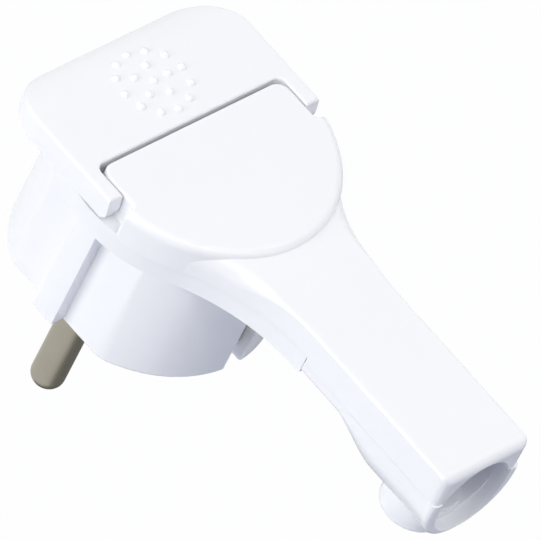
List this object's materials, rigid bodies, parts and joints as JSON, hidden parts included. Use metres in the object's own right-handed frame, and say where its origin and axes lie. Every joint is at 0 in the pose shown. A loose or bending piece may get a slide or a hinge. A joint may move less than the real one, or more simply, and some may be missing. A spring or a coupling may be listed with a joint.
{
  "type": "flat electrical plug",
  "caption": "Flat angled mains plug: round pins under a drum-shaped head, side earth contacts, a hinged pull lever with grip dots, and a slim neck with a clamped cable inlet.",
  "frame": {"origin": "centre of the flat face that goes into the socket, midway between the pins", "axes": "+X towards the cable mouth, +Y across the pins, +Z away from the wall, so the pins point along -Z"},
  "size_m": [0.0776, 0.0384, 0.0458],
  "materials": {
    "white_plastic": "polished moulded thermoplastic",
    "inner_plastic": "moulded insulating plastic",
    "nickel_brass": "satin nickel plating on brass",
    "zinc_steel": "zinc-plated steel"
  },
  "bodies": {
    "housing": {"plug_body": "white_plastic", "top_shell": "white_plastic", "neck_cover": "white_plastic", "line_pin": "nickel_brass", "neutral_pin": "nickel_brass", "pin_terminal_screws": "zinc_steel", "pin_retainer": "inner_plastic", "retainer_screws": "zinc_steel", "earth_strip": "nickel_brass", "earth_sleeve": "nickel_brass", "earth_washer": "zinc_steel", "earth_screw": "zinc_steel", "closing_screw": "zinc_steel", "clamp_nut": "zinc_steel", "clamp_screw": "zinc_steel", "clamp_saddle": "inner_plastic"},
    "lever": {"pull_lever": "white_plastic"}
  },
  "joints": [
    {"name": "lever_hinge", "type": "hinge", "parent": "housing", "child": "lever", "pos_m": [0, 0, 0.0246], "axis": [0, 1, 0], "range_deg": [0, 90]}
  ]
}
